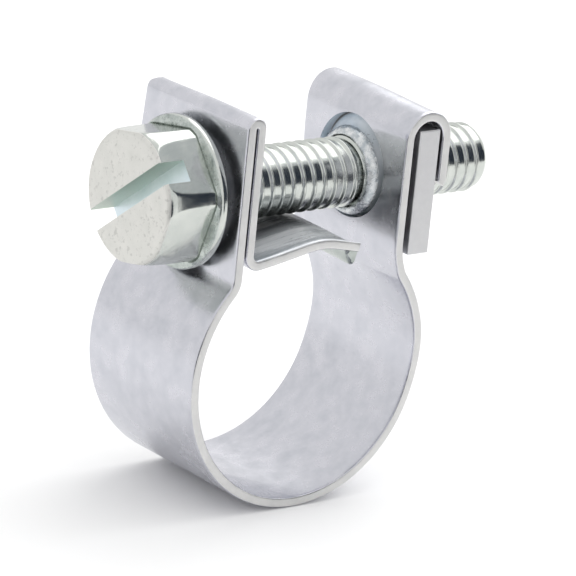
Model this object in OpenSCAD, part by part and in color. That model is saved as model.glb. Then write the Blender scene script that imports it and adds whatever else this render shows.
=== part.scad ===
// Fuel-line style hose clamp: one bent steel strip, a flanged hex screw with a slot, and a plate nut.
// Origin: centre of the band ring. +X: along the screw, towards its tail. +Y: along the hose. +Z: up, to the screw.
// The strip is one piece in life. It is drawn as four nodes that meet at three thin gaps, so that it can flex.

/* [Strip] */
// Width of the strip, along the hose
band_w = 9; // [8.6:0.1:10]
// Thickness of the strip
band_t = 0.55; // [0.5:0.01:0.58]
// Inner radius of the ring
ring_ri = 7.1; // [7.05:0.01:7.25]
// Gap left in the strip at each place where it flexes
flex_gap = 0.1; // [0.06:0.01:0.14]

/* [Head side ear] */
// Distance from the ring centre to the face the screw head bears on
head_face_x = 5.5; // [5.4:0.01:5.6]
// Top of the fold
head_top_z = 14.3; // [14:0.1:14.6]
// Slit between the two leaves of the fold
fold_slit = 0.1; // [0.06:0.01:0.14]
// Bend from the ear into the ring, on its outer face
head_neck_r = 0.9; // [0.7:0.05:1.1]
// Hole for the screw through both leaves
shank_hole_d = 4.3; // [4.1:0.05:4.6]

/* [Tongue] */
// Bend from the inner leaf into the tongue, on its inner face
curl_r = 0.35; // [0.3:0.01:0.4]
// Bow of the tongue's top face
tongue_r = 10; // [9.6:0.1:10.4]
// Height of the tongue's top face at its crest
tongue_top_z = 7.34; // [7.3:0.01:7.36]
// Position of the crest along the screw
tongue_crest_x = -0.2; // [-0.4:0.05:0]
// Position of the tongue's free end
tongue_tip_x = 2.8; // [2.4:0.1:3]

/* [Nut side ear] */
// Face of the inner leaf, towards the screw head
nut_face_x = 5.22; // [5.15:0.01:5.3]
// Outer radius of the loop over the nut
loop_r = 1.515; // [1.5:0.005:1.54]
// Top of the loop
loop_top_z = 13.655; // [13.6:0.01:13.8]
// End of the outer leaf
hook_end_z = 9.5; // [9.4:0.05:9.9]
// Bend from the ear into the ring, on its outer face
nut_neck_r = 1.6; // [1.4:0.05:1.65]
// Hole in the inner leaf, round the collar of the nut
collar_hole_d = 5.7; // [5.5:0.05:5.9]
// Height of that hole
collar_hole_z = 9.62; // [9.5:0.01:9.7]
// Notch in the outer leaf, round the screw
notch_d = 4.6; // [4.4:0.05:4.9]

/* [Nut] */
// Thickness of the nut plate
nut_t = 1.38; // [1.3:0.01:1.4]
// Face of the plate towards the inner leaf
nut_x = 6.02; // [5.95:0.01:6.04]
// Bottom of the plate
nut_bottom_z = 5.85; // [5.8:0.05:6.2]
// Top of the plate
nut_top_z = 12.65; // [12.4:0.05:12.8]
// Collar drawn out of the plate
collar_d = 4.88; // [4.8:0.01:4.9]
// Rim of the collar
collar_end_d = 4.1; // [4.06:0.01:4.4]
// Where the collar ends
collar_end_x = 4.65; // [4.5:0.05:4.8]
// Bore, left clear of the thread
nut_bore_d = 3.92; // [3.88:0.01:3.96]

/* [Screw] */
// Height of the screw above the ring centre
screw_z = 9.33; // [9.32:0.01:9.4]
// Outside diameter of the thread
thread_d = 3.85; // [3.8:0.01:3.86]
// Pitch of the thread
pitch = 0.7; // [0.6:0.05:0.8]
// Depth of the thread
thread_depth = 0.4; // [0.3:0.01:0.43]
// Where the tail of the screw ends
tail_x = 13.45; // [13.2:0.05:14.4]
// Chamfer at the tail
tail_chamfer = 0.35; // [0.3:0.05:0.5]
// Diameter of the flange
flange_d = 8.3; // [8:0.05:8.4]
// Thickness of the flange
flange_t = 1.12; // [1:0.01:1.2]
// Hex size across the flats
hex_af = 6.95; // [6.8:0.05:7]
// Diameter that rounds the hex corners
hex_corner_d = 7.74; // [7.6:0.01:8]
// Height of the head, from the bearing face to the end face
head_h = 4.01; // [3.8:0.01:4.2]
// Diameter of the flat end face
head_face_d = 6.86; // [6.6:0.02:6.9]
// Turn of the hex about the screw
hex_turn = 50; // [0:1:59]
// Width of the slot
slot_w = 1.2; // [1:0.05:1.4]
// Depth of the slot
slot_depth = 1.6; // [1.2:0.05:1.8]
// Turn of the slot about the screw
slot_turn = 143; // [0:1:179]

/* [View] */
// Which node to build

/* [Hidden] */
$fn = 96;
strip_color = [0.80, 0.81, 0.85];
nut_color = [0.76, 0.76, 0.78];
screw_color = [0.80, 0.82, 0.77];
over = 1; // how far a cutter runs past what it cuts
lap = 0.1; // degrees that one bend runs into the next, so that they join

ring_ro = ring_ri + band_t;
// Head side: two leaves, folded over at the top and curled into the tongue below
head_leaf_x = -head_face_x;
head_slit_x = head_leaf_x + band_t;
inner_leaf_x = head_slit_x + fold_slit;
inner_leaf_end_x = inner_leaf_x + band_t;
fold_mid_x = head_slit_x + fold_slit / 2;
fold_ri = fold_slit / 2;
fold_z = head_top_z - fold_ri - band_t;
tongue_mid_z = tongue_top_z - tongue_r;
curl_x = inner_leaf_end_x + curl_r;
curl_dx = tongue_crest_x - curl_x;
curl_z = tongue_mid_z + sqrt(pow(tongue_r + curl_r, 2) - pow(curl_dx, 2));
curl_turn = atan2(tongue_mid_z - curl_z, curl_dx);
tongue_tip_turn = acos((tongue_tip_x - tongue_crest_x) / tongue_r);

// Necks: each outer fillet touches the ear's outer face and the outside of the ring
head_neck_x = -(head_face_x + head_neck_r);
head_neck_z = sqrt(pow(ring_ro + head_neck_r, 2) - pow(head_neck_x, 2));
head_neck_turn = atan2(head_neck_z, head_neck_x);
nut_back_x = nut_face_x + band_t;
nut_neck_x = nut_back_x + nut_neck_r;
nut_neck_z = sqrt(pow(ring_ro + nut_neck_r, 2) - pow(nut_neck_x, 2));
nut_neck_turn = atan2(nut_neck_z, nut_neck_x);

// Flex lines: one at each neck, at one height, and one at the bottom of the ring, midway between them
flex_z = head_neck_z;
flex_left_x = head_leaf_x + band_t / 2;
flex_right_x = nut_face_x + band_t / 2;
flex_bottom_x = (flex_left_x + flex_right_x) / 2;
ring_rm = ring_ri + band_t / 2;
bottom_turn = 270 + asin(flex_bottom_x / ring_rm);
bottom_half_gap = asin(flex_gap / 2 / ring_rm);
neck_half_gap = asin(flex_gap / 2 / (head_neck_r + band_t / 2));

// Nut side: the strip loops over the nut plate and comes down behind it
loop_ri = loop_r - band_t;
loop_x = nut_face_x + loop_r;
loop_z = loop_top_z - loop_r;
outer_leaf_x = loop_x + loop_ri;

// Screw
thread_r = thread_d / 2;
root_r = thread_r - thread_depth;
head_clear = 0.04; // keeps the bearing face just off the ear
bearing_x = -(head_face_x + head_clear);
flange_end_x = bearing_x - flange_t;
head_end_x = bearing_x - head_h;
flange_r = flange_d / 2;
back_rise = 0.42; // how far the flange is coned back behind its rim
back_step = 0.55;
front_chamfer = 0.3;
head_chamfer = 0.8; // drawn-in end of the hexagon, from the flat end face to its full size
crest_flat = pitch / 8;
thread_run = tail_x - tail_chamfer - bearing_x;
groove_count = floor(thread_run / pitch) - 1;
// Two points of the thread at each side of every groove: crest, root, crest
groove_pts = [for (i = [0 : groove_count - 1]) for (p = [
        [thread_r, crest_flat],
        [root_r, pitch / 2],
        [thread_r, pitch - crest_flat]]) [p[0], (i + 0.5) * pitch + p[1]]];

// A piece of the strip bent about a line along Y, from turn a0 to turn a1 (from +X towards +Z)
module bend(x, z, ri, a0, a1) {
    translate([x, 0, z]) rotate([90, 0, 0])
        rotate_extrude(angle = a1 - a0, start = a0)
            translate([ri, -band_w / 2]) square([band_t, band_w]);
}

// A straight upright piece of the strip
module leaf(x, z0, z1) {
    translate([x, -band_w / 2, z0]) cube([band_t, band_w, z1 - z0]);
}

// A cylinder about the line of the screw, or a line parallel to it at another height
module along_screw(d, x0, x1, z = screw_z, d_end = undef) {
    translate([x0, 0, z]) rotate([0, 90, 0])
        cylinder(h = x1 - x0, d1 = d, d2 = is_undef(d_end) ? d : d_end);
}

module band_head_ear() {
    color(strip_color) difference() {
        union() {
            leaf(head_leaf_x, flex_z + flex_gap / 2, fold_z);
            bend(fold_mid_x, fold_z, fold_ri, 0, 180);
            leaf(inner_leaf_x, curl_z, fold_z);
            bend(curl_x, curl_z, curl_r, 180, 360 + curl_turn);
            bend(tongue_crest_x, tongue_mid_z, tongue_r - band_t, tongue_tip_turn, 180 + curl_turn);
        }
        along_screw(shank_hole_d, head_leaf_x - over, inner_leaf_end_x + over);
    }
}

module band_left_arc() {
    color(strip_color) union() {
        bend(head_neck_x, head_neck_z, head_neck_r, head_neck_turn - 180, -neck_half_gap);
        bend(0, 0, ring_ri, head_neck_turn - lap, bottom_turn - bottom_half_gap);
    }
}

module band_right_arc() {
    color(strip_color) union() {
        leaf(nut_face_x, nut_neck_z, flex_z - flex_gap / 2);
        bend(nut_neck_x, nut_neck_z, nut_neck_r, 180, 180 + nut_neck_turn);
        bend(0, 0, ring_ri, bottom_turn + bottom_half_gap, 360 + nut_neck_turn + lap);
    }
}

module band_nut_ear() {
    color(strip_color) difference() {
        union() {
            leaf(nut_face_x, flex_z + flex_gap / 2, loop_z);
            bend(loop_x, loop_z, loop_ri, 0, 180);
            leaf(outer_leaf_x, hook_end_z, loop_z);
        }
        along_screw(collar_hole_d, nut_face_x - over, nut_back_x + fold_slit, collar_hole_z);
        along_screw(notch_d, outer_leaf_x - fold_slit, outer_leaf_x + band_t + over);
    }
}

module plate_nut() {
    collar_taper_x = (collar_end_x + nut_face_x) / 2 + fold_slit;
    color(nut_color) difference() {
        union() {
            translate([nut_x, -band_w / 2, nut_bottom_z]) cube([nut_t, band_w, nut_top_z - nut_bottom_z]);
            along_screw(collar_d, collar_taper_x, nut_x + over / 2);
            along_screw(collar_end_d, collar_end_x, collar_taper_x, screw_z, collar_d);
        }
        along_screw(nut_bore_d, collar_end_x - over, nut_x + nut_t + over);
    }
}

// Revolved outline of the flange and the threaded shank, drawn as radius against distance from the bearing face
module screw_body() {
    translate([bearing_x, 0, screw_z]) rotate([0, 90, 0]) rotate_extrude()
        polygon(concat(
            [[0, -flange_t], [flange_r - front_chamfer, -flange_t], [flange_r, front_chamfer - flange_t],
             [flange_r, -back_rise], [flange_r - back_step, 0], [thread_r, 0]],
            groove_pts,
            [[thread_r, thread_run], [thread_r - tail_chamfer, tail_x - bearing_x], [0, tail_x - bearing_x]]));
}

module hex_head() {
    intersection() {
        translate([head_end_x, 0, screw_z]) rotate([hex_turn, 0, 0]) rotate([0, 90, 0]) rotate([0, 0, 90])
            cylinder(h = head_h - flange_t / 2, d = hex_af / cos(30), $fn = 6);
        translate([head_end_x, 0, screw_z]) rotate([0, 90, 0]) union() {
            cylinder(h = head_chamfer, d1 = head_face_d, d2 = hex_corner_d);
            translate([0, 0, head_chamfer]) cylinder(h = head_h - head_chamfer, d = hex_corner_d);
        }
    }
}

module screw() {
    color(screw_color) difference() {
        union() {
            screw_body();
            hex_head();
        }
        translate([head_end_x + slot_depth, 0, screw_z]) rotate([slot_turn, 0, 0])
            translate([-slot_depth - over, -flange_d, -slot_w / 2])
                cube([slot_depth + over, 2 * flange_d, slot_w]);
    }
}

band_head_ear();
band_left_arc();
band_right_arc();
band_nut_ear();
plate_nut();
screw();
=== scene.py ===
import bpy
import bmesh
import math
from mathutils import Vector, Matrix, noise


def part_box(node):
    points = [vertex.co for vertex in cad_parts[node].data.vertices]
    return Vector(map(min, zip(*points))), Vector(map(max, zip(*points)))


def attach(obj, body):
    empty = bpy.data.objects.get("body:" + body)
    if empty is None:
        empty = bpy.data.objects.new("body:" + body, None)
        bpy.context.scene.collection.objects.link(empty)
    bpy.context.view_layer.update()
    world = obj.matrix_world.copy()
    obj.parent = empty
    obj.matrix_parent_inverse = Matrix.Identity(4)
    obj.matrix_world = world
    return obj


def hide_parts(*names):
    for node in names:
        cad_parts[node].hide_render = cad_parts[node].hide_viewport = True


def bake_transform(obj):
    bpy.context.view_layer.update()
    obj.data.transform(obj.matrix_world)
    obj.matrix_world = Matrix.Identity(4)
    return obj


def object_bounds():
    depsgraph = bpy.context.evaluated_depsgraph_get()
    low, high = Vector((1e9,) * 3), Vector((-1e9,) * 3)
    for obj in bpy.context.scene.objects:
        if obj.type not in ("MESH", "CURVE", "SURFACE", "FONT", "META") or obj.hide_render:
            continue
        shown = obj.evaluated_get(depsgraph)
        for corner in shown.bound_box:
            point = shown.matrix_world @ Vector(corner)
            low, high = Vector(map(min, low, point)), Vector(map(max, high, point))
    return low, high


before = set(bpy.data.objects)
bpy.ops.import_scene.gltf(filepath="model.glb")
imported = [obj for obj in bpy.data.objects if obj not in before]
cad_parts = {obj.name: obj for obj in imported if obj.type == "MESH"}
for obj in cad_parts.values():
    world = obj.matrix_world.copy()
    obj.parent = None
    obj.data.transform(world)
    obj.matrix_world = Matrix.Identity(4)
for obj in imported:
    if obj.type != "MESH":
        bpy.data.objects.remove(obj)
size_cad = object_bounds()

MM = 0.001
scene = bpy.context.scene
coll = scene.collection


def box_mm(node):
    lo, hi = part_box(node)
    return [v / MM for v in lo], [v / MM for v in hi]


# ---------------------------------------------------------------- places, in mm, from the CAD nodes
EAR_LO, EAR_HI = box_mm("band_head_ear")
ARC_LO = box_mm("band_left_arc")[0]
LOOP_LO, LOOP_HI = box_mm("band_nut_ear")
NUT_LO, NUT_HI = box_mm("plate_nut")
SCR_LO, SCR_HI = box_mm("screw")
T = 0.55                                   # sheet thickness
W = EAR_HI[1] - EAR_LO[1]                  # strip width
RING_RO = -ARC_LO[0]
RING_RM = RING_RO - T / 2
AXIS_Z = (SCR_LO[2] + SCR_HI[2]) / 2       # height of the screw
FLANGE_R = (SCR_HI[2] - SCR_LO[2]) / 2


# ---------------------------------------------------------------- small helpers
def new_object(name, verts, faces, mats, face_mats=None):
    me = bpy.data.meshes.new(name)
    me.from_pydata([Vector(v) * MM for v in verts], [], faces)
    for m in mats:
        me.materials.append(m)
    if face_mats:
        me.polygons.foreach_set("material_index", face_mats)
    me.validate()
    ob = bpy.data.objects.new(name, me)
    coll.objects.link(ob)
    return ob


def clean_normals(ob):
    bm = bmesh.new()
    bm.from_mesh(ob.data)
    bmesh.ops.remove_doubles(bm, verts=bm.verts, dist=0.0005 * MM)
    bmesh.ops.recalc_face_normals(bm, faces=bm.faces)
    bm.to_mesh(ob.data)
    bm.free()


def apply_modifiers(ob):
    deps = bpy.context.evaluated_depsgraph_get()
    me = bpy.data.meshes.new_from_object(ob.evaluated_get(deps))
    ob.modifiers.clear()
    old = ob.data
    ob.data = me
    bpy.data.meshes.remove(old)


def cut(ob, cutter, op="DIFFERENCE"):
    m = ob.modifiers.new("cut", "BOOLEAN")
    m.operation = op
    m.solver = "EXACT"
    m.object = cutter
    bpy.context.view_layer.update()
    apply_modifiers(ob)
    me = cutter.data
    bpy.data.objects.remove(cutter)
    bpy.data.meshes.remove(me)


def smooth(ob, angle=35):
    for p in ob.data.polygons:
        p.use_smooth = True
    ob.data.set_sharp_from_angle(angle=math.radians(angle))
    m = ob.modifiers.new("weighted", "WEIGHTED_NORMAL")
    m.keep_sharp = True
    m.weight = 80
    bpy.context.view_layer.update()
    apply_modifiers(ob)


def rod(name, r, x0, x1, y=0.0, z=0.0, n=96):
    verts, faces = [], []
    for x in (x0, x1):
        for k in range(n):
            a = 2 * math.pi * k / n
            verts.append((x, y + r * math.cos(a), z + r * math.sin(a)))
    for k in range(n):
        faces.append((k, (k + 1) % n, n + (k + 1) % n, n + k))
    faces.append(tuple(range(n))[::-1])
    faces.append(tuple(range(n, 2 * n)))
    ob = new_object(name, verts, faces, [])
    clean_normals(ob)
    return ob


def ease(v):
    v = max(0.0, min(1.0, v))
    return v * v * (3 - 2 * v)


def soft_min(a, b, k):
    h = max(k - abs(a - b), 0.0) / k
    return min(a, b) - h * h * k * 0.25


# ---------------------------------------------------------------- materials
def node(nt, kind, **kw):
    n = nt.nodes.new(kind)
    for k, v in kw.items():
        setattr(n, k, v)
    return n


def plated(name, dark, light, rough, rough_var, bump, grain=(900.0, 5200.0), metallic=1.0,
           stretch=(1, 1, 1), pits=0.0, shade=None):
    mat = bpy.data.materials.new(name)
    mat.use_nodes = True
    nt = mat.node_tree
    bsdf = nt.nodes["Principled BSDF"]
    bsdf.inputs["Metallic"].default_value = metallic
    co = node(nt, "ShaderNodeTexCoord")
    mp = node(nt, "ShaderNodeMapping")
    mp.inputs["Scale"].default_value = stretch
    nt.links.new(co.outputs["Object"], mp.inputs["Vector"])
    big = node(nt, "ShaderNodeTexNoise")
    big.inputs["Scale"].default_value = grain[0]
    big.inputs["Detail"].default_value = 5.0
    big.inputs["Roughness"].default_value = 0.6
    fine = node(nt, "ShaderNodeTexNoise")
    fine.inputs["Scale"].default_value = grain[1]
    fine.inputs["Detail"].default_value = 4.0
    fine.inputs["Roughness"].default_value = 0.65
    for n in (big, fine):
        nt.links.new(mp.outputs["Vector"], n.inputs["Vector"])
    ramp = node(nt, "ShaderNodeValToRGB")
    ramp.color_ramp.elements[0].position = 0.3
    ramp.color_ramp.elements[0].color = (*dark, 1)
    ramp.color_ramp.elements[1].position = 0.7
    ramp.color_ramp.elements[1].color = (*light, 1)
    nt.links.new(big.outputs["Fac"], ramp.inputs["Fac"])
    colour = ramp.outputs["Color"]
    if pits:
        pr = node(nt, "ShaderNodeValToRGB")
        pr.color_ramp.elements[0].position = 0.36
        pr.color_ramp.elements[0].color = (1 - pits, 1 - pits, 1 - pits, 1)
        pr.color_ramp.elements[1].position = 0.43
        pr.color_ramp.elements[1].color = (1, 1, 1, 1)
        nt.links.new(fine.outputs["Fac"], pr.inputs["Fac"])
        mix = node(nt, "ShaderNodeMix", data_type="RGBA", blend_type="MULTIPLY")
        mix.inputs["Factor"].default_value = 1.0
        nt.links.new(colour, mix.inputs["A"])
        nt.links.new(pr.outputs["Color"], mix.inputs["B"])
        colour = mix.outputs["Result"]
    if shade:
        # painted shade: darkening painted into the colour along Y; the numbers are where along Y it is full,
        # where it ends, the share of the colour that is left, and whether both sides of Y = 0 get it
        sep = node(nt, "ShaderNodeSeparateXYZ")
        nt.links.new(co.outputs["Object"], sep.inputs["Vector"])
        side = sep.outputs["Y"]
        if shade[3]:
            mag = node(nt, "ShaderNodeMath", operation="ABSOLUTE")
            nt.links.new(side, mag.inputs[0])
            side = mag.outputs["Value"]
        mr = node(nt, "ShaderNodeMapRange", interpolation_type="SMOOTHSTEP")
        mr.inputs["From Min"].default_value = shade[0] * MM
        mr.inputs["From Max"].default_value = shade[1] * MM
        mr.inputs["To Min"].default_value = shade[2]
        mr.inputs["To Max"].default_value = 1.0
        nt.links.new(side, mr.inputs["Value"])
        mix = node(nt, "ShaderNodeMix", data_type="RGBA", blend_type="MULTIPLY")
        mix.inputs["Factor"].default_value = 1.0
        nt.links.new(colour, mix.inputs["A"])
        nt.links.new(mr.outputs["Result"], mix.inputs["B"])
        colour = mix.outputs["Result"]
    nt.links.new(colour, bsdf.inputs["Base Color"])
    rr = node(nt, "ShaderNodeMapRange")
    rr.inputs["From Min"].default_value = 0.3
    rr.inputs["From Max"].default_value = 0.7
    rr.inputs["To Min"].default_value = rough - rough_var
    rr.inputs["To Max"].default_value = rough + rough_var
    nt.links.new(big.outputs["Fac"], rr.inputs["Value"])
    nt.links.new(rr.outputs["Result"], bsdf.inputs["Roughness"])
    bp = node(nt, "ShaderNodeBump")
    bp.inputs["Strength"].default_value = bump
    bp.inputs["Distance"].default_value = 0.02 * MM
    nt.links.new(fine.outputs["Fac"], bp.inputs["Height"])
    nt.links.new(bp.outputs["Normal"], bsdf.inputs["Normal"])
    return mat


M_STRIP = plated("zinc_strip", (0.52, 0.53, 0.575), (0.635, 0.635, 0.68), 0.25, 0.05, 0.2)
# tongue zinc: its light and dark streaks along X are painted reflections, and its middle under the screw is
# darkened as painted shade
M_TONGUE_PAINTED_STREAKS_SHADE = plated("zinc_tongue", (0.36, 0.39, 0.42), (0.95, 0.96, 0.98), 0.28, 0.06, 0.1,
                  grain=(1300.0, 5200.0), metallic=0.5, stretch=(0.10, 1.0, 0.25),
                  shade=(1.3, 2.7, 0.3, True))
# zinc for the collar hole's wall and the collar's flared foot: its light bluish tone is a painted
# reflection, and its near side (-Y) is darkened as painted shade
M_LIP_PAINTED_REFLECTION_SHADE = plated("zinc_hole_lip_painted_reflection_and_shade", (0.64, 0.71, 0.77), (0.84, 0.89, 0.94), 0.32, 0.06, 0.3, metallic=0.45,
               shade=(-2.4, 0.9, 0.45, False))
# near-black zinc on the flange's undercut: painted shade of the dark gap between flange and ear
M_GAP_PAINTED_SHADE = plated("zinc_under_flange_painted_shade", (0.12, 0.125, 0.13), (0.20, 0.205, 0.21), 0.4, 0.06, 0.3)
# darker green-grey copy of the tongue zinc for the nose's downward faces: painted shade
M_UNDER_PAINTED_SHADE = plated("zinc_tongue_under_painted_shade", (0.33, 0.37, 0.345), (0.50, 0.53, 0.51), 0.25, 0.05, 0.2)
M_EDGE = plated("zinc_cut_edge", (0.62, 0.62, 0.615), (0.76, 0.755, 0.745), 0.46, 0.08, 0.5,
                stretch=(1, 0.3, 1))
M_SCREW = plated("zinc_screw", (0.51, 0.54, 0.515), (0.64, 0.66, 0.625), 0.17, 0.04, 0.2)
M_FACE = plated("zinc_screw_face", (0.61, 0.61, 0.58), (0.71, 0.705, 0.675), 0.46, 0.08, 0.5,
                grain=(1100.0, 3600.0), pits=0.18)
M_FLANGE = plated("zinc_flange", (0.32, 0.36, 0.345), (0.58, 0.62, 0.59), 0.26, 0.08, 0.7,
                  grain=(2200.0, 5600.0), pits=0.3)
M_NUT = plated("zinc_nut", (0.60, 0.60, 0.61), (0.70, 0.70, 0.705), 0.46, 0.08, 0.5)
# slot walls and slot floor: their green and blue tints are painted reflection colour
M_SLOT_PAINTED_REFLECTION = plated("zinc_slot", (0.44, 0.54, 0.44), (0.56, 0.62, 0.55), 0.34, 0.06, 0.2)
M_FLOOR_PAINTED_REFLECTION = plated("zinc_slot_floor", (0.60, 0.69, 0.73), (0.72, 0.79, 0.83), 0.36, 0.06, 0.2)
M_COLLAR = plated("zinc_nut_collar", (0.34, 0.38, 0.41), (0.78, 0.79, 0.79), 0.26, 0.08, 1.0,
                  grain=(2600.0, 7000.0))

# ---------------------------------------------------------------- the strip's line, in (x, z)
tongue_tip_x = EAR_HI[0]
head_x = EAR_LO[0]
leaf_out_x = head_x + T / 2                # mid line of the outer leaf
slit = 0.1
leaf_in_x = head_x + T + slit + T / 2
fold_x = head_x + T + slit / 2
fold_r = (slit + T) / 2
fold_z = EAR_HI[2] - fold_r - T / 2
bend_l = 0.9
bend_r = 1.6
cl_x = head_x - bend_l
cl_z = math.sqrt((RING_RO + bend_l) ** 2 - cl_x ** 2)
nut_leaf_x = LOOP_LO[0] + T / 2
cr_x = LOOP_LO[0] + T + bend_r
cr_z = math.sqrt((RING_RO + bend_r) ** 2 - cr_x ** 2)
loop_r = (LOOP_HI[0] - LOOP_LO[0]) / 2 - T / 2
loop_x = (LOOP_HI[0] + LOOP_LO[0]) / 2
loop_z = LOOP_HI[2] - loop_r - T / 2
hook_z = 9.85
hook_r = 0.5
curl_r = 0.3 + T / 2                       # mid line of the bend under the ear
curl_x, curl_z = leaf_in_x + curl_r, 6.9
curl_end = 278.0
# the tongue's own line: place along X and slope there
TONGUE = ((-4.0, 0.14), (-3.0, 0.17), (-2.0, 0.2), (-1.0, 0.195), (-0.5, 0.15), (0.1, 0.05), (0.6, -0.07),
          (1.2, -0.2), (2.0, -0.215), (3.0, -0.2))
neck_l_a = math.degrees(math.atan2(cl_z, cl_x))
neck_r_a = math.degrees(math.atan2(cr_z, cr_x))


def arc(cx, cz, r, a0, a1, side, step):
    n = max(2, int(round(abs(a1 - a0) / step)))
    out = []
    for i in range(n + 1):
        a = math.radians(a0 + (a1 - a0) * i / n)
        c, s = math.cos(a), math.sin(a)
        out.append((cx + r * c, cz + r * s, side * c, side * s))
    return out


def line(x, z0, z1, nx, step=0.4):
    n = max(2, int(round(abs(z1 - z0) / step)))
    return [(x, z0 + (z1 - z0) * i / n, nx, 0.0) for i in range(n + 1)]


def tongue_slope(x):
    for (x0, s0), (x1, s1) in zip(TONGUE, TONGUE[1:]):
        if x <= x1:
            return s0 + (s1 - s0) * (x - x0) / (x1 - x0)
    return TONGUE[-1][1]


def tongue_line():
    """From the free end back to the bend under the ear."""
    a = math.radians(curl_end)
    x, z = curl_x + curl_r * math.cos(a), curl_z + curl_r * math.sin(a)
    step = 0.08
    out = []
    while x < tongue_tip_x - 0.04:
        g = tongue_slope(x)
        k = math.hypot(1, g)
        out.append((x, z, -g / k, 1 / k))
        x += step
        z += tongue_slope(x - step / 2) * step
    return out[::-1]


SEAM_L, SEAM_R = 205.0, 335.0
head_path = (tongue_line()
             + arc(curl_x, curl_z, curl_r, curl_end, 180, -1, 5)
             + line(leaf_in_x, curl_z, fold_z, 1)
             + arc(fold_x, fold_z, fold_r, 0, 180, 1, 8)
             + line(leaf_out_x, fold_z, cl_z, -1)
             + arc(cl_x, cl_z, bend_l + T / 2, 0, neck_l_a - 180, -1, 1.5)
             + arc(0, 0, RING_RM, neck_l_a, SEAM_L, 1, 0.5))
low_path = arc(0, 0, RING_RM, SEAM_L, SEAM_R, 1, 0.5)
nut_path = (arc(0, 0, RING_RM, SEAM_R, 360 + neck_r_a, 1, 0.5)
            + arc(cr_x, cr_z, bend_r + T / 2, 180 + neck_r_a, 180, -1, 1.5)
            + line(nut_leaf_x, cr_z, loop_z, 1)
            + arc(loop_x, loop_z, loop_r, 180, 0, -1, 3)
            + line(loop_x + loop_r, loop_z, hook_z, -1)
            + arc(loop_x + loop_r - hook_r, hook_z, hook_r, 360, 325, -1, 4))


def tidy(path):
    out = [path[0]]
    for p in path[1:]:
        if math.hypot(p[0] - out[-1][0], p[1] - out[-1][1]) > 0.004:
            out.append(p)
    return out


def section(h, w, r_out, r_in):
    """Closed outline of the strip's cross-section, as (offset towards the outer side, place along Y)."""
    pts = []

    def corner(cn, cy, r, a0, a1, n):
        for i in range(n + 1):
            a = math.radians(a0 + (a1 - a0) * i / n)
            pts.append((cn + r * math.cos(a), cy + r * math.sin(a)))

    def run(n0, y0, n1, y1, k):
        for i in range(1, k):
            t = i / k
            pts.append((n0 + (n1 - n0) * t, y0 + (y1 - y0) * t))

    corner(h - r_out, w - r_out, r_out, 0, 90, 5)
    run(h - r_out, w, -h + r_in, w, 3)
    corner(-h + r_in, w - r_in, r_in, 90, 180, 3)
    run(-h, w - r_in, -h, -w + r_in, 50)
    corner(-h + r_in, -w + r_in, r_in, 180, 270, 3)
    run(-h + r_in, -w, h - r_out, -w, 3)
    corner(h - r_out, -w + r_out, r_out, 270, 360, 5)
    run(h, -w + r_out, h, w - r_out, 50)
    return pts


SECTION = section(T / 2, W / 2, 0.15, 0.10)


def strip(name, path, cap0, cap1, shape=None):
    path = tidy(path)
    verts, faces, mats = [], [], []
    m = len(SECTION)
    for i, (x, z, nx, nz) in enumerate(path):
        for (o, y) in SECTION:
            p = [x + nx * o, y, z + nz * o]
            if shape:
                p = shape(p, o, i)
            verts.append(p)
    for i in range(len(path) - 1):
        for j in range(m):
            k = (j + 1) % m
            faces.append((i * m + j, i * m + k, (i + 1) * m + k, (i + 1) * m + j))
            ys = (abs(SECTION[j][1]) + abs(SECTION[k][1])) / 2
            mats.append(1 if ys > W / 2 - 0.03 else 0)
    if cap0:
        faces.append(tuple(range(m))[::-1])
        mats.append(1)
    if cap1:
        b = (len(path) - 1) * m
        faces.append(tuple(range(b, b + m)))
        mats.append(1)
    ob = new_object(name, verts, faces, [M_STRIP, M_EDGE], mats)
    clean_normals(ob)
    return ob


def head_shape(p, o, i):
    """The tongue's nose, the ear's rounded far corner and the strip's slightly wider far side.

    The nose is moved straight down, not bent, so the sheet is thinner where it is steep.
    """
    x, y, z = p
    if x > 0.8 and 5.3 < z < 8:
        off = min(1.0, max(0.0, (abs(y) - 3.8) / 0.6))
        down = ease((x - 1.75) / 0.95) * math.sqrt(1 - off * off)
        z -= 0.9 * down
    if -3.8 < x and 5.3 < z < 8:
        z += 0.1 * (1 - (2 * y / W) ** 2) * ease((x + 3.8) / 1.2)
    if z > 12.5:
        z += 0.1 * (1 - ease((y + 1) / 5)) * ease((z - 12.5) / 1.2)
    if z > EAR_HI[2] - 1.5 and y > 0:
        r = 0.5
        dy, dz = y - (W / 2 - r), z - (EAR_HI[2] - r)
        d = math.hypot(dy, dz)
        if dy > 0 and dz > 0 and d > r:
            y, z = W / 2 - r + dy * r / d, EAR_HI[2] - r + dz * r / d
    if y > 0:
        y *= 1 + 0.055 * max(0.0, min(1.0, (14.15 - z) / 2.7))
    return [x, y, z]


def low_shape(p, o, i):
    x, y, z = p
    if y > 0:
        y *= 1 + 0.055 * ease(0.5 - x / 14)
    return [x, y, z]


def nut_side_shape(p, o, i):
    """The far side of the ear is narrower and stands higher, and the ring swells a little below the neck."""
    x, y, z = p
    if y > 0 and z > 5.5:
        y *= 1 - (0.06 + 0.04 * (1 - ease((z - 8) / 3))) * ease((z - 5.5) / 1.6)
    if z > 12:
        z += 0.14 * ease((y + 4.5) / 6) * ease((z - 12) / 1.5)
    if x > 0:
        x += 0.2 * ease((z + 2) / 4) * (1 - ease((z - 5.0) / 1.3))
    if y > 0 and z < 0 and x < 8:
        a = math.degrees(math.atan2(z, x))
        y *= 1 + 0.055 * ease(0.5 - x / 14) * (1 - ease((a + 25) / 25))
    return [x, y, z]


head = strip("strip_head_side", head_path, True, False, head_shape)
low = strip("strip_ring_bottom", low_path, False, False, low_shape)
nutside = strip("strip_nut_side", nut_path, False, True, nut_side_shape)


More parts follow.
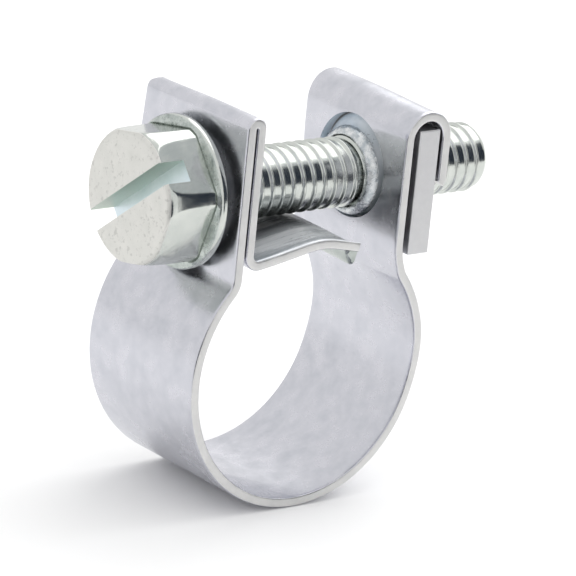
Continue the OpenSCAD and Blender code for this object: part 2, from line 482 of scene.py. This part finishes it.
def paint_hole(ob, slot, x0, x1, r, z):
    """Give the punched wall of a hole a material of its own."""
    for p in ob.data.polygons:
        c = p.center / MM
        if x0 < c.x < x1 and abs(math.hypot(c.y, c.z - z) - r) < 0.02 and abs(p.normal.x) < 0.3:
            p.material_index = slot


SHANK_HOLE_R, COLLAR_HOLE_R, NOTCH_R = 2.15, 2.85, 2.3
COLLAR_HOLE_Z = 9.62
cut(head, rod("hole", SHANK_HOLE_R, head_x - 1, leaf_in_x + 1, z=AXIS_Z))
cut(nutside, rod("hole", COLLAR_HOLE_R, LOOP_LO[0] - 1, LOOP_LO[0] + T + 0.3, z=COLLAR_HOLE_Z))
cut(nutside, rod("hole", NOTCH_R, LOOP_HI[0] - T - 0.3, LOOP_HI[0] + 1, z=AXIS_Z))
for m in (M_TONGUE_PAINTED_STREAKS_SHADE, M_UNDER_PAINTED_SHADE):
    head.data.materials.append(m)
nutside.data.materials.append(M_LIP_PAINTED_REFLECTION_SHADE)
# upward tongue faces get the tongue zinc with its painted streaks and painted shade; the nose's downward
# faces get the darker copy, painted shade
for p in head.data.polygons:
    c = p.center / MM
    if p.material_index == 0 and c.x > leaf_in_x + T / 2 - 0.02 and c.z < 8.2:
        p.material_index = 2 if p.normal.z > -0.05 else 3 if c.x > 1.7 else 0
paint_hole(head, 1, head_x - 0.1, leaf_in_x + 0.4, SHANK_HOLE_R, AXIS_Z)
# the collar hole's wall gets the hole-lip zinc, with its painted reflection and painted shade
paint_hole(nutside, 2, LOOP_LO[0] - 0.1, LOOP_LO[0] + T + 0.1, COLLAR_HOLE_R, COLLAR_HOLE_Z)
paint_hole(nutside, 1, LOOP_HI[0] - T - 0.1, LOOP_HI[0] + 0.1, NOTCH_R, AXIS_Z)
for ob in (head, low, nutside):
    smooth(ob, 38)

# ---------------------------------------------------------------- the screw
BEAR_X = EAR_LO[0] - 0.04
HEAD_X = SCR_LO[0]
TAIL_X = SCR_HI[0]
PITCH = 0.7
THREAD_R = 1.925
HEX = 6.95 / 2
FACE_R = 3.43
FLANGE_T = 1.12
FLANGE_F = BEAR_X - FLANGE_T                # front of the flange

# how far the hexagon's corners stand out, from the end face to the flange: a drawn-in, rounded end
CORNERS = ((0.0, FACE_R), (0.05, FACE_R + 0.06), (0.12, 3.575), (0.25, 3.66), (0.45, 3.73),
           (0.8, 3.78), (1.4, 3.82), (3.4, 3.86))


def corner_limit(x):
    d = x - HEAD_X
    for (d0, r0), (d1, r1) in zip(CORNERS, CORNERS[1:]):
        if d <= d1:
            return r0 + (r1 - r0) * (d - d0) / (d1 - d0)
    return CORNERS[-1][1]


HEAD_MATS = [M_SCREW, M_FACE, M_SLOT_PAINTED_REFLECTION, M_FLOOR_PAINTED_REFLECTION, M_FLANGE, M_GAP_PAINTED_SHADE]


def screw_head():
    n = 360
    turn = 50
    rings = []
    flat = [HEX / math.cos(math.radians(30 - abs((k - turn + 30) % 60 - 30))) for k in range(n)]

    def ring(f):
        rings.append([f(k) for k in range(n)])

    ring(lambda k: (HEAD_X, 0.02))
    for r in (1.0, 2.0, 3.0, FACE_R - 0.08):
        ring(lambda k, r=r: (HEAD_X, r))
    ring(lambda k: (HEAD_X + 0.008, FACE_R - 0.03))
    last = FLANGE_F - 0.22
    steps = [0.03, 0.06, 0.09, 0.12, 0.15, 0.19, 0.23, 0.28, 0.33, 0.39, 0.45, 0.52, 0.6, 0.7, 0.85,
             1.05, 1.3, 1.6, 2.0, 2.4]
    for d in steps:
        ring(lambda k, d=d: (HEAD_X + d, soft_min(flat[k], corner_limit(HEAD_X + d), 0.05)))
    base = [soft_min(flat[k], corner_limit(last), 0.05) for k in range(n)]
    ring(lambda k: (last, base[k]))
    ring(lambda k: (FLANGE_F + 0.02, base[k] + 0.005))
    ring(lambda k: (FLANGE_F + 0.10, base[k] + 0.02))
    face0 = len(rings)
    ring(lambda k: (FLANGE_F + 0.03, base[k] + 0.07))
    ring(lambda k: (FLANGE_F + 0.02, base[k] + 0.10))
    ring(lambda k: (FLANGE_F + 0.06, max(base[k] + 0.13, 3.86)))
    ring(lambda k: (FLANGE_F + 0.12, 4.04))
    face1 = len(rings)
    rim = FLANGE_R - 0.03
    for x, r in ((0.17, rim - 0.05), (0.23, rim - 0.015), (0.32, rim), (0.50, rim), (0.57, rim - 0.02),
                 (0.62, rim - 0.07), (0.64, rim - 0.14), (0.70, 3.3), (FLANGE_T, 3.22)):
        ring(lambda k, x=x, r=r: (FLANGE_F + x, r))
    # from here on the undercut faces get the near-black painted shade
    gap0 = len(rings) - 2
    ring(lambda k: (BEAR_X, 1.6))
    verts, faces, mats = [], [], []
    for rg in rings:
        for k, (x, r) in enumerate(rg):
            a = math.radians(k)
            verts.append((x, r * math.cos(a), AXIS_Z + r * math.sin(a)))
    for i in range(len(rings) - 1):
        for k in range(n):
            k2 = (k + 1) % n
            faces.append((i * n + k, i * n + k2, (i + 1) * n + k2, (i + 1) * n + k))
            mats.append(1 if i < 11 else 5 if i >= gap0 else 4 if face0 - 1 <= i < face1 else 0)
    faces.append(tuple(range(n))[::-1])
    mats.append(1)
    b = (len(rings) - 1) * n
    faces.append(tuple(range(b, b + n)))
    mats.append(0)
    ob = new_object("screw_head", verts, faces, HEAD_MATS, mats)
    clean_normals(ob)
    return ob


def slot_cutter(width, depth, turn):
    a = math.radians(turn)
    c, s = math.cos(a), math.sin(a)
    verts = []
    for x in (HEAD_X - 1, HEAD_X + depth):
        for u, v in ((-6, -width / 2), (6, -width / 2), (6, width / 2), (-6, width / 2)):
            verts.append((x, u * c - v * s, AXIS_Z + u * s + v * c))
    faces = [(0, 1, 2, 3), (4, 5, 6, 7), (0, 1, 5, 4), (1, 2, 6, 5), (2, 3, 7, 6), (3, 0, 4, 7)]
    ob = new_object("slot", verts, faces, [M_SCREW])
    clean_normals(ob)
    return ob


def thread():
    n, m = 96, 28
    depth = 0.15
    turns = int((TAIL_X - BEAR_X) / PITCH) + 3
    x0 = BEAR_X - PITCH
    verts, faces = [], []
    for i in range(turns * m + 1):
        for j in range(n):
            u = i / m
            x = x0 + PITCH * (u + j / n)
            d = abs((u % 1.0) - 0.5) * PITCH
            drop = depth * ease((d - 0.025) / 0.13)
            r = THREAD_R - drop
            lim = THREAD_R + 0.02 - max(0.0, x - (TAIL_X - 0.45)) * 0.75
            r = soft_min(r, lim, 0.05) if lim < r + 0.05 else r
            a = 2 * math.pi * j / n
            verts.append((x, r * math.cos(a), AXIS_Z + r * math.sin(a)))
    rows = turns * m + 1
    for i in range(rows - 1):
        for j in range(n):
            if j < n - 1:
                q = (i * n + j, i * n + j + 1, (i + 1) * n + j + 1, (i + 1) * n + j)
            else:
                if i + 1 + m >= rows:
                    continue
                q = (i * n + j, (i + m) * n, (i + m + 1) * n, (i + 1) * n + j)
            faces.append(q)
    ob = new_object("thread", verts, faces, [M_SCREW])
    bm = bmesh.new()
    bm.from_mesh(ob.data)
    for x, sgn in ((BEAR_X - 0.05, -1), (TAIL_X, 1)):
        geom = bm.verts[:] + bm.edges[:] + bm.faces[:]
        bmesh.ops.bisect_plane(bm, geom=geom, plane_co=(x * MM, 0, 0), plane_no=(sgn, 0, 0),
                               clear_outer=True, dist=1e-8)
        rim = [e for e in bm.edges if e.is_boundary and all(abs(v.co.x - x * MM) < 1e-6 for v in e.verts)]
        bmesh.ops.contextual_create(bm, geom=rim)
    bmesh.ops.remove_doubles(bm, verts=bm.verts, dist=1e-7)
    bmesh.ops.recalc_face_normals(bm, faces=bm.faces)
    bm.to_mesh(ob.data)
    bm.free()
    return ob


shead = screw_head()
SLOT_W, SLOT_D, SLOT_TURN = 1.2, 1.6, 143
cut(shead, slot_cutter(SLOT_W, SLOT_D, SLOT_TURN))
slot_side = Vector((0, -math.sin(math.radians(SLOT_TURN)), math.cos(math.radians(SLOT_TURN))))
# the slot's walls and floor get the green and blue painted reflection tints
for p in shead.data.polygons:
    c = p.center / MM - Vector((0, 0, AXIS_Z))
    if c.x > HEAD_X + 0.01 and abs(c.dot(slot_side)) < SLOT_W / 2 + 0.01 and c.x < HEAD_X + SLOT_D + 0.01:
        if abs(p.normal.dot(slot_side)) > 0.9:
            p.material_index = 2
        elif abs(p.normal.x) > 0.9:
            p.material_index = 3
smooth(shead, 28)
shank = thread()
smooth(shank, 60)

# ---------------------------------------------------------------- the nut
NUT_LO_X, NUT_HI_X = 6.10, NUT_HI[0] + 0.08


def nut_plate():
    y = W / 2
    heights = (NUT_LO[2] - 0.08, NUT_HI[2])
    verts = [(x, yy, z) for x in (NUT_LO_X, NUT_HI_X) for yy in (-y, y) for z in heights]
    faces = [(0, 1, 3, 2), (4, 6, 7, 5), (0, 4, 5, 1), (2, 3, 7, 6), (0, 2, 6, 4), (1, 5, 7, 3)]
    ob = new_object("nut_plate", verts, faces, [M_NUT])
    clean_normals(ob)
    cut(ob, rod("bore", 1.96, NUT_LO_X - 1, NUT_HI_X + 1, z=AXIS_Z))
    b = ob.modifiers.new("bevel", "BEVEL")
    b.width = 0.07 * MM
    b.segments = 3
    b.limit_method = "ANGLE"
    b.angle_limit = math.radians(50)
    bpy.context.view_layer.update()
    apply_modifiers(ob)
    return ob


def nut_collar():
    n = 144
    bore = 1.965
    prof = [(NUT_LO_X + 0.25, 2.78), (5.82, 2.78), (5.74, 2.75), (5.66, 2.68), (5.56, 2.59), (5.46, 2.52),
            (5.35, 2.47), (5.25, 2.44), (5.1, 2.40), (4.98, 2.36), (4.88, 2.31), (4.80, 2.25), (4.73, 2.18),
            (4.69, 2.12), (4.68, 2.06), (4.70, 2.01), (4.75, 1.98), (4.9, bore), (NUT_LO_X + 0.25, bore)]
    verts, faces = [], []
    for i, (x, r) in enumerate(prof):
        for k in range(n):
            a = 2 * math.pi * k / n
            dx = dr = 0.0
            if 7 <= i <= 15:
                p = Vector((r * math.cos(a), r * math.sin(a), x))
                v = noise.noise(p * 3.1) * 0.6 + noise.noise(p * 8.0) * 0.4
                amp = 0.07 * ease((5.3 - x) / 0.5)
                dx = max(0.0, v * amp + amp * 0.4)
                dr = -abs(noise.noise(p * 5.0 + Vector((7, 3, 1)))) * amp * 0.8
                if r + dr < bore:
                    dr = bore - r
            # the flared foot follows the ear's hole, which sits a little higher than the screw
            lift = 0.28 * max(0.0, min(1.0, (r - 2.44) / 0.34))
            verts.append((x + dx, (r + dr) * math.cos(a), AXIS_Z + lift + (r + dr) * math.sin(a)))
    m = len(prof)
    for i in range(m):
        i2 = (i + 1) % m
        for k in range(n):
            k2 = (k + 1) % n
            faces.append((i * n + k, i * n + k2, i2 * n + k2, i2 * n + k))
    # the flared foot gets the hole-lip zinc, with its painted reflection and painted shade
    lip = [1 if i < 7 else 0 for i in range(m) for k in range(n)]
    ob = new_object("nut_collar", verts, faces, [M_COLLAR, M_LIP_PAINTED_REFLECTION_SHADE], lip)
    clean_normals(ob)
    return ob


plate = nut_plate()
smooth(plate, 35)
collar = nut_collar()
smooth(collar, 50)

# ---------------------------------------------------------------- riding and standing in
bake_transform(head)
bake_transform(low)
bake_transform(nutside)
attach(shead, "screw")
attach(shank, "screw")
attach(plate, "nut")
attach(collar, "nut")
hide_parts("band_head_ear", "band_left_arc")
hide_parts("band_right_arc")
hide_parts("band_nut_ear")
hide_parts("screw")
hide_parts("plate_nut")

# ---------------------------------------------------------------- studio
world = bpy.data.worlds.new("studio")
scene.world = world
world.use_nodes = True
world.node_tree.nodes["Background"].inputs["Color"].default_value = (1, 1, 1, 1)
world.node_tree.nodes["Background"].inputs["Strength"].default_value = 1.0
scene.view_settings.view_transform = "Standard"
scene.view_settings.look = "None"


def plain_material(name, c0, c1, rough):
    mat = bpy.data.materials.new(name)
    mat.use_nodes = True
    nt = mat.node_tree
    bsdf = nt.nodes["Principled BSDF"]
    bsdf.inputs["Roughness"].default_value = rough
    nz = node(nt, "ShaderNodeTexNoise")
    nz.inputs["Scale"].default_value = 40.0
    ramp = node(nt, "ShaderNodeValToRGB")
    ramp.color_ramp.elements[0].color = (*c0, 1)
    ramp.color_ramp.elements[1].color = (*c1, 1)
    nt.links.new(nz.outputs["Fac"], ramp.inputs["Fac"])
    nt.links.new(ramp.outputs["Color"], bsdf.inputs["Base Color"])
    return mat


floor_z = (size_cad[0][2] / MM) - 0.02
FLOOR_HALF = 900
floor_ob = new_object("floor", [(-FLOOR_HALF, -FLOOR_HALF, floor_z), (FLOOR_HALF, -FLOOR_HALF, floor_z),
                                (FLOOR_HALF, FLOOR_HALF, floor_z), (-FLOOR_HALF, FLOOR_HALF, floor_z)],
                      [(0, 1, 2, 3)], [plain_material("floor", (0.95, 0.95, 0.95), (0.98, 0.98, 0.98), 0.9)])


def backstage(ob):
    ob.visible_camera = False
    ob.visible_shadow = False
    ob.visible_diffuse = False


def screen(name, tone, a0, a1, e0, e1, radius):
    """A curved screen, unseen by the camera, that the bright metal reflects."""
    n = 24
    verts, faces = [], []
    for i in range(n + 1):
        a = math.radians(a0 + (a1 - a0) * i / n)
        for e in (e0, e1):
            z = max(AXIS_Z + radius * math.tan(math.radians(e)), floor_z + 0.3)
            verts.append((radius * math.cos(a), radius * math.sin(a), z))
    for i in range(n):
        faces.append((2 * i, 2 * i + 2, 2 * i + 3, 2 * i + 1))
    ob = new_object(name, verts, faces, [plain_material(name, *tone, 0.9)])
    backstage(ob)


DARK = ((0.010, 0.016, 0.030), (0.016, 0.024, 0.042))
GREY = ((0.50, 0.52, 0.54), (0.56, 0.58, 0.60))
screen("screen_side", DARK, -72, -28, -5, 42.8, 150)
screen("screen_grey", GREY, -56, -20, 42.3, 52, 150)
screen("screen_front", DARK, -152, -108, -30, 6, 50)
CARD_LO, CARD_HI = -5.5, 5                 # bottom and top of a small flat card
card = new_object("screen_card",
                  [(14, -60, CARD_LO), (28, -52, CARD_LO), (28, -52, CARD_HI), (14, -60, CARD_HI)],
                  [(0, 1, 2, 3)], [plain_material("screen_card", *DARK, 0.9)])
backstage(card)


def area(name, loc, aim, size, power):
    li = bpy.data.lights.new(name, "AREA")
    li.shape = "RECTANGLE"
    li.size, li.size_y = size[0] * MM, size[1] * MM
    li.energy = power
    ob = bpy.data.objects.new(name, li)
    coll.objects.link(ob)
    ob.location = Vector(loc) * MM
    d = (Vector(aim) - Vector(loc)).normalized()
    ob.rotation_euler = d.to_track_quat("-Z", "Y").to_euler()


area("key", (132, 44, 169), (0, 0, 3), (240, 240), 0.226)

# ---------------------------------------------------------------- camera
az, el, roll = math.radians(39.275), math.radians(17.494), math.radians(5.776)
right = Vector((math.cos(az), -math.sin(az), 0))
up = Vector((math.sin(az) * math.sin(el), math.cos(az) * math.sin(el), math.cos(el)))
fwd = Vector((math.sin(az) * math.cos(el), math.cos(az) * math.cos(el), -math.sin(el)))
cx = right * math.cos(roll) + up * math.sin(roll)
cy = -right * math.sin(roll) + up * math.cos(roll)
cam_d = bpy.data.cameras.new("camera")
cam_d.sensor_width = 36
cam_d.lens = 307.04
cam_d.clip_start = 0.01
cam_d.clip_end = 10
cam = bpy.data.objects.new("camera", cam_d)
coll.objects.link(cam)
where = (cx * 1.712 + cy * 3.092 - fwd * 263.412) * MM
rot = Matrix((cx, cy, -fwd)).transposed()
cam.matrix_world = Matrix.Translation(where) @ rot.to_4x4()
scene.camera = cam
